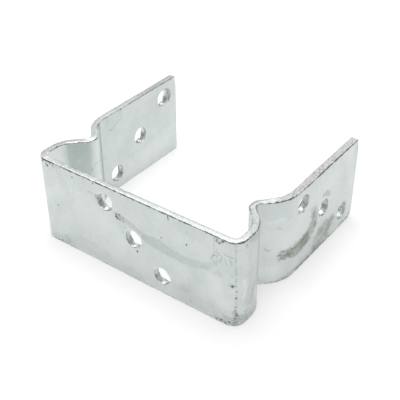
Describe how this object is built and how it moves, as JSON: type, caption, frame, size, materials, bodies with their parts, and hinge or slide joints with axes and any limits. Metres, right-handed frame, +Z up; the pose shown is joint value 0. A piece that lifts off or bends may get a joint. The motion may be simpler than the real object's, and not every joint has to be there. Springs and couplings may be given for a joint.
{
  "type": "u bracket",
  "caption": "Galvanised steel U bracket folded from flat strip, with an inward V fold in each arm and diagonal screw holes, for fixing rails or panels to a slotted post.",
  "frame": {"origin": "middle of the bounding box's bottom face, on the plane of the strip's lower edge", "axes": "+Z up along the post, square to the strip's cut edges; -Y out of the front plate; +X across the bracket, to the right when the front plate is faced"},
  "size_m": [0.1, 0.089, 0.04],
  "materials": {
    "galvanised_strip": "hot-dip galvanised, satin, with handling scuffs"
  },
  "bodies": {
    "root": {"u_bracket": "galvanised_strip"}
  },
  "joints": []
}
